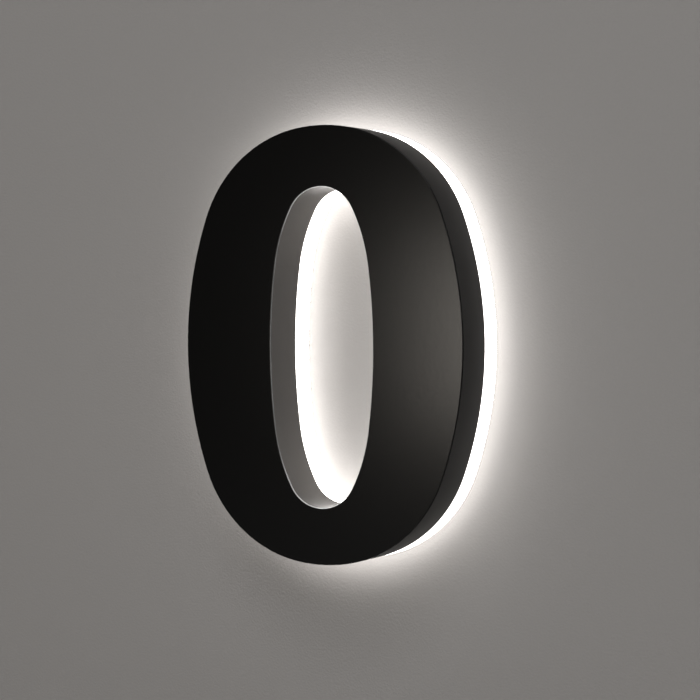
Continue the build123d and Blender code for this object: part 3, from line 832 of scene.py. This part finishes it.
def longest_way(name):
    """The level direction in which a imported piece's points spread most."""
    mesh = frame["nodes"][name].data
    flat = np.empty(3 * len(mesh.vertices), np.float32)
    mesh.vertices.foreach_get("co", flat)
    points = flat.reshape(-1, 3)[:, [0, 2]].astype(float)
    spread = np.linalg.eigh(np.cov((points - points.mean(axis=0)).T))[1][:, -1]
    return np.array([spread[0], 0.0, spread[1]])


def laid(loops, origin, x_axis, z_axis):
    """Loops drawn about the origin, turned so that their x and z lie along the given axes."""
    return origin + loops @ np.stack([x_axis, np.cross(z_axis, x_axis), z_axis])


def add_stacks(name, copies, slot, *nodes, ring=False):
    """A piece of one or more laid stacks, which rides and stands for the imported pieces.

    A ring's last loop joins its first. Any other stack gets a cap at both ends.
    """
    copies = np.array(copies)
    count, rows, columns = copies.shape[:3]
    points = copies.reshape(count, -1, 3) if ring else with_tips(copies)
    faces = [loop_faces(rows, columns, ring)] + ([] if ring else [cap_faces(rows, columns)])
    step = np.arange(count)[:, None, None] * points.shape[1]
    faces = [(part + step).reshape(-1, part.shape[1]) for part in faces]
    piece = add_mesh(name, points, faces, FINISHES[slot])
    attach(piece, frame["nodes"][nodes[0]]["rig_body"])
    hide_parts(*nodes)


# %% [markdown]
# ## Lenses and chips
#
# A lens is a moulded acrylic dome on a flat rim, with a fine groove between the two. It
# stands a hair above its module, so that light is bent at its own two surfaces and doesn't
# meet the module's in the same place. Under it, in a round pocket, lies the chip: a white
# frame with rounded corners, and in its window the phosphor, with a slight swell.

# %% Lenses
MODULES = 8
LENS_SPACING = 0.014
LENS_COLUMNS = 48
LENS_GAP = 0.03  # this and the lengths below are in millimetres
RIM_TOP = 0.6
DOME_RADIUS = 4.303  # of the sphere that the dome is a part of
DOME_EDGE = 3.5
DOME_HEIGHT = 1.8
POCKET_DEPTH = 2.4
LAST_ANGLE = 0.08  # from the apex, in radians: the cap closes what is left
DOME_STEPS = 14

lens_nodes = [f"module_lens_{number}" for number in range(1, MODULES + 1)]
from_apex = np.linspace(np.arcsin(DOME_EDGE / DOME_RADIUS), LAST_ANGLE, DOME_STEPS)
dome_rows = zip(RIM_TOP + DOME_HEIGHT - DOME_RADIUS * (1 - np.cos(from_apex)),
                DOME_RADIUS * np.sin(from_apex))
underside = [(LENS_GAP, 1.0), (LENS_GAP, 4.25)]
flat_rim = [(0.15, 4.4), (0.48, 4.4), (RIM_TOP, 4.28), (RIM_TOP, 3.78)]
groove = [(0.45, 3.62), (0.50, 3.54)]
one_lens = stack([*underside, *flat_rim, *groove, *dome_rows], LENS_COLUMNS)
module_level = max(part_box(name)[1][1] for name in lens_nodes)

lens_spots = []
for name in lens_nodes:
    middle, way = box_middle(name), longest_way(name)
    middle[1] = module_level
    lens_spots += [(middle - way * LENS_SPACING / 2, way), (middle + way * LENS_SPACING / 2, way)]
add_stacks("lenses", [laid(one_lens, spot, way, TOWARDS_VIEWER) for spot, way in lens_spots],
           "lens_clear", *lens_nodes)

# %% Chips
CHIP_COLUMNS = 40
CHIP_HEIGHT = 0.80
CHIP_BEVEL = 0.06


def rounded_box(length, width, power, columns):
    """A rectangle's radius at each angle, with corners as round as the power is low."""
    angles = angles_round(columns)
    along = np.abs(2 * np.cos(angles) / length) ** power
    across = np.abs(2 * np.sin(angles) / width) ** power
    return (along + across) ** (-1 / power)


outside = rounded_box(3.0, 2.8, 9.0, CHIP_COLUMNS)
window = rounded_box(2.3, 2.1, 5.0, CHIP_COLUMNS)
frame_rows = [(0.0, outside - CHIP_BEVEL), (0.05, outside), (CHIP_HEIGHT - CHIP_BEVEL, outside),
              (CHIP_HEIGHT, outside - CHIP_BEVEL), (CHIP_HEIGHT, window + 0.05),
              (0.77, window), (0.45, window - 0.12)]
phosphor_rows = [(0.46, window - 0.14), (0.70, window - 0.03), (0.75, window * 0.9),
                 (0.78, window * 0.6), (0.79, window * 0.3)]
chip_level = module_level + POCKET_DEPTH * MILLIMETRE
for name, rows, slot in (("led_frames", frame_rows, "module_plastic"),
                         ("led_phosphors", phosphor_rows, "led_phosphor")):
    chip = stack(rows, CHIP_COLUMNS)
    copies = [laid(chip, (spot[0], chip_level, spot[2]), way, TOWARDS_VIEWER)
              for spot, way in lens_spots]
    add_stacks(name, copies, slot, "led_chips")

# %% [markdown]
# ## Grub screws
#
# A grub screw is a rod with a thread all along, a point at one end and a hexagonal socket in
# the other. The thread is a helix, and a helix is simple in these coordinates: the surface
# goes in and out with the height less the angle's share of a pitch. At both ends the radius
# is the smaller of thread and cone, which cuts the thread off as a lathe does.

# %% Grub screws
SCREW_COLUMNS = 48
SCREW_RADIUS = 2.0
THREAD_PITCH = 0.7
THREAD_DEPTH = 0.38
LOOPS_A_PITCH = 10
SCREW_POINT = 0.5
SOCKET_FLATS = 2.0
SOCKET_DEPTH = 2.2
SOCKET_CHAMFER = 0.12
SOCKET_CONE = 0.3  # its depth, and the share of the width that is left at its end


def hexagon(flats, columns):
    """A hexagon's radius at each angle, with a corner at angle 0."""
    from_flat = np.mod(angles_round(columns), pi / 3) - pi / 6
    return flats / 2 / np.cos(from_flat)


def threaded(heights, length):
    """A thread's radius at each height and angle, in millimetres."""
    turns = heights[:, None] / THREAD_PITCH - angles_round(SCREW_COLUMNS) / (2 * pi)
    into = 1 - np.abs(2 * np.mod(turns, 1.0) - 1)
    flattened = np.clip(1.4 * into - 0.2, 0, 1)  # a zigzag with a flat crest and a flat root
    thread = SCREW_RADIUS - THREAD_DEPTH * flattened
    from_end = np.minimum(heights, length - heights)[:, None]
    cone = SCREW_RADIUS - SCREW_POINT + from_end
    return np.minimum(thread, cone)


for end, upwards in (("top", 1.0), ("bottom", -1.0)):
    low, high = (np.array(corner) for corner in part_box(f"lock_screw_{end}"))
    length = (high[2] - low[2]) / MILLIMETRE
    heights = np.linspace(0.0, length, round(length / THREAD_PITCH * LOOPS_A_PITCH))
    socket = hexagon(SOCKET_FLATS, SCREW_COLUMNS)
    rows = [*zip(heights, threaded(heights, length)),
            (length, socket + SOCKET_CHAMFER), (length - SOCKET_CHAMFER, socket),
            (length - SOCKET_DEPTH, socket),
            (length - SOCKET_DEPTH - SOCKET_CONE, socket * SOCKET_CONE)]
    tip = (low + high) / 2
    tip[2] = low[2] if upwards > 0 else high[2]
    screw = laid(stack(rows, SCREW_COLUMNS), tip, np.array([1.0, 0, 0]), np.array([0, 0, upwards]))
    add_stacks(f"grub_screw_{end}", [screw], "black_steel", f"lock_screw_{end}")

# %% [markdown]
# ## Gland nut and cap
#
# Both are moulded hexagons, whose corners are cut back by a cone or a dome. That cut is the
# smaller of two radii again: the hexagon's, and that of a round form which is wider than the
# flats and narrower than the corners.

# %% Gland nut and cap
HEX_COLUMNS = 96
NUT_FLATS = 14.0
NUT_HEIGHT = 2.4
NUT_BORE = 5.25
BORE_CHAMFER = 0.35
CAP_FLATS = 13.0
CAP_HEIGHT = 5.0
CAP_SHOULDER = 2.2  # where the dome starts
CAP_BORE = 3.5
CAP_INNER = 5.25
CAP_ROOF = 1.5
DOME_SPREAD = 3.6

gland_middle = box_middle("gland_locknut")
gland_way = longest_way("gland_cap")


def hex_rows(heights, flats, round_radius):
    """Rows of a hexagon, cut back to a round form's radius at each height."""
    return [(height, np.minimum(hexagon(flats, HEX_COLUMNS), cut))
            for height, cut in zip(heights, round_radius)]


nut_heights = np.array([0.0, 0.1, 0.2, 0.35, 0.5, 0.7, 1.7, 1.9, 2.05, 2.2, 2.3, 2.4])
nut_cone = NUT_FLATS / 2 - 0.1 + 1.8 * np.minimum(nut_heights, NUT_HEIGHT - nut_heights)
nut_rows = hex_rows(nut_heights, NUT_FLATS, nut_cone)
nut_rows += [(NUT_HEIGHT, NUT_BORE + BORE_CHAMFER), (NUT_HEIGHT - BORE_CHAMFER, NUT_BORE),
             (BORE_CHAMFER, NUT_BORE), (0.0, NUT_BORE + BORE_CHAMFER)]

over = np.linspace(0, pi / 2, 12)
dome_heights = CAP_SHOULDER + (CAP_HEIGHT - CAP_SHOULDER) * np.sin(over)
cap_heights = np.concatenate([[0.0, 0.15, 0.3], dome_heights])
cap_dome = np.concatenate([[6.9, 7.3, 7.6], CAP_BORE + 0.5 + DOME_SPREAD * np.cos(over)])
cap_rows = hex_rows(cap_heights, CAP_FLATS, cap_dome)
cap_rows += [(CAP_HEIGHT - 0.1, CAP_BORE + 0.15), (CAP_HEIGHT - 0.3, CAP_BORE),
             (CAP_HEIGHT - CAP_ROOF, CAP_BORE), (CAP_HEIGHT - CAP_ROOF, CAP_INNER),
             (0.2, CAP_INNER), (0.0, CAP_INNER + 0.2)]
for name, rows in (("gland_locknut", nut_rows), ("gland_cap", cap_rows)):
    spot = gland_middle.copy()
    spot[1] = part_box(name)[1][1]
    part = laid(stack(rows, HEX_COLUMNS), spot, gland_way, TOWARDS_VIEWER)
    add_stacks(name.replace("gland_", "hex_"), [part], "gland_nylon", name, ring=True)

# %% Finish
bpy.context.scene.view_settings.view_transform = "Standard"
bpy.context.view_layer.update()
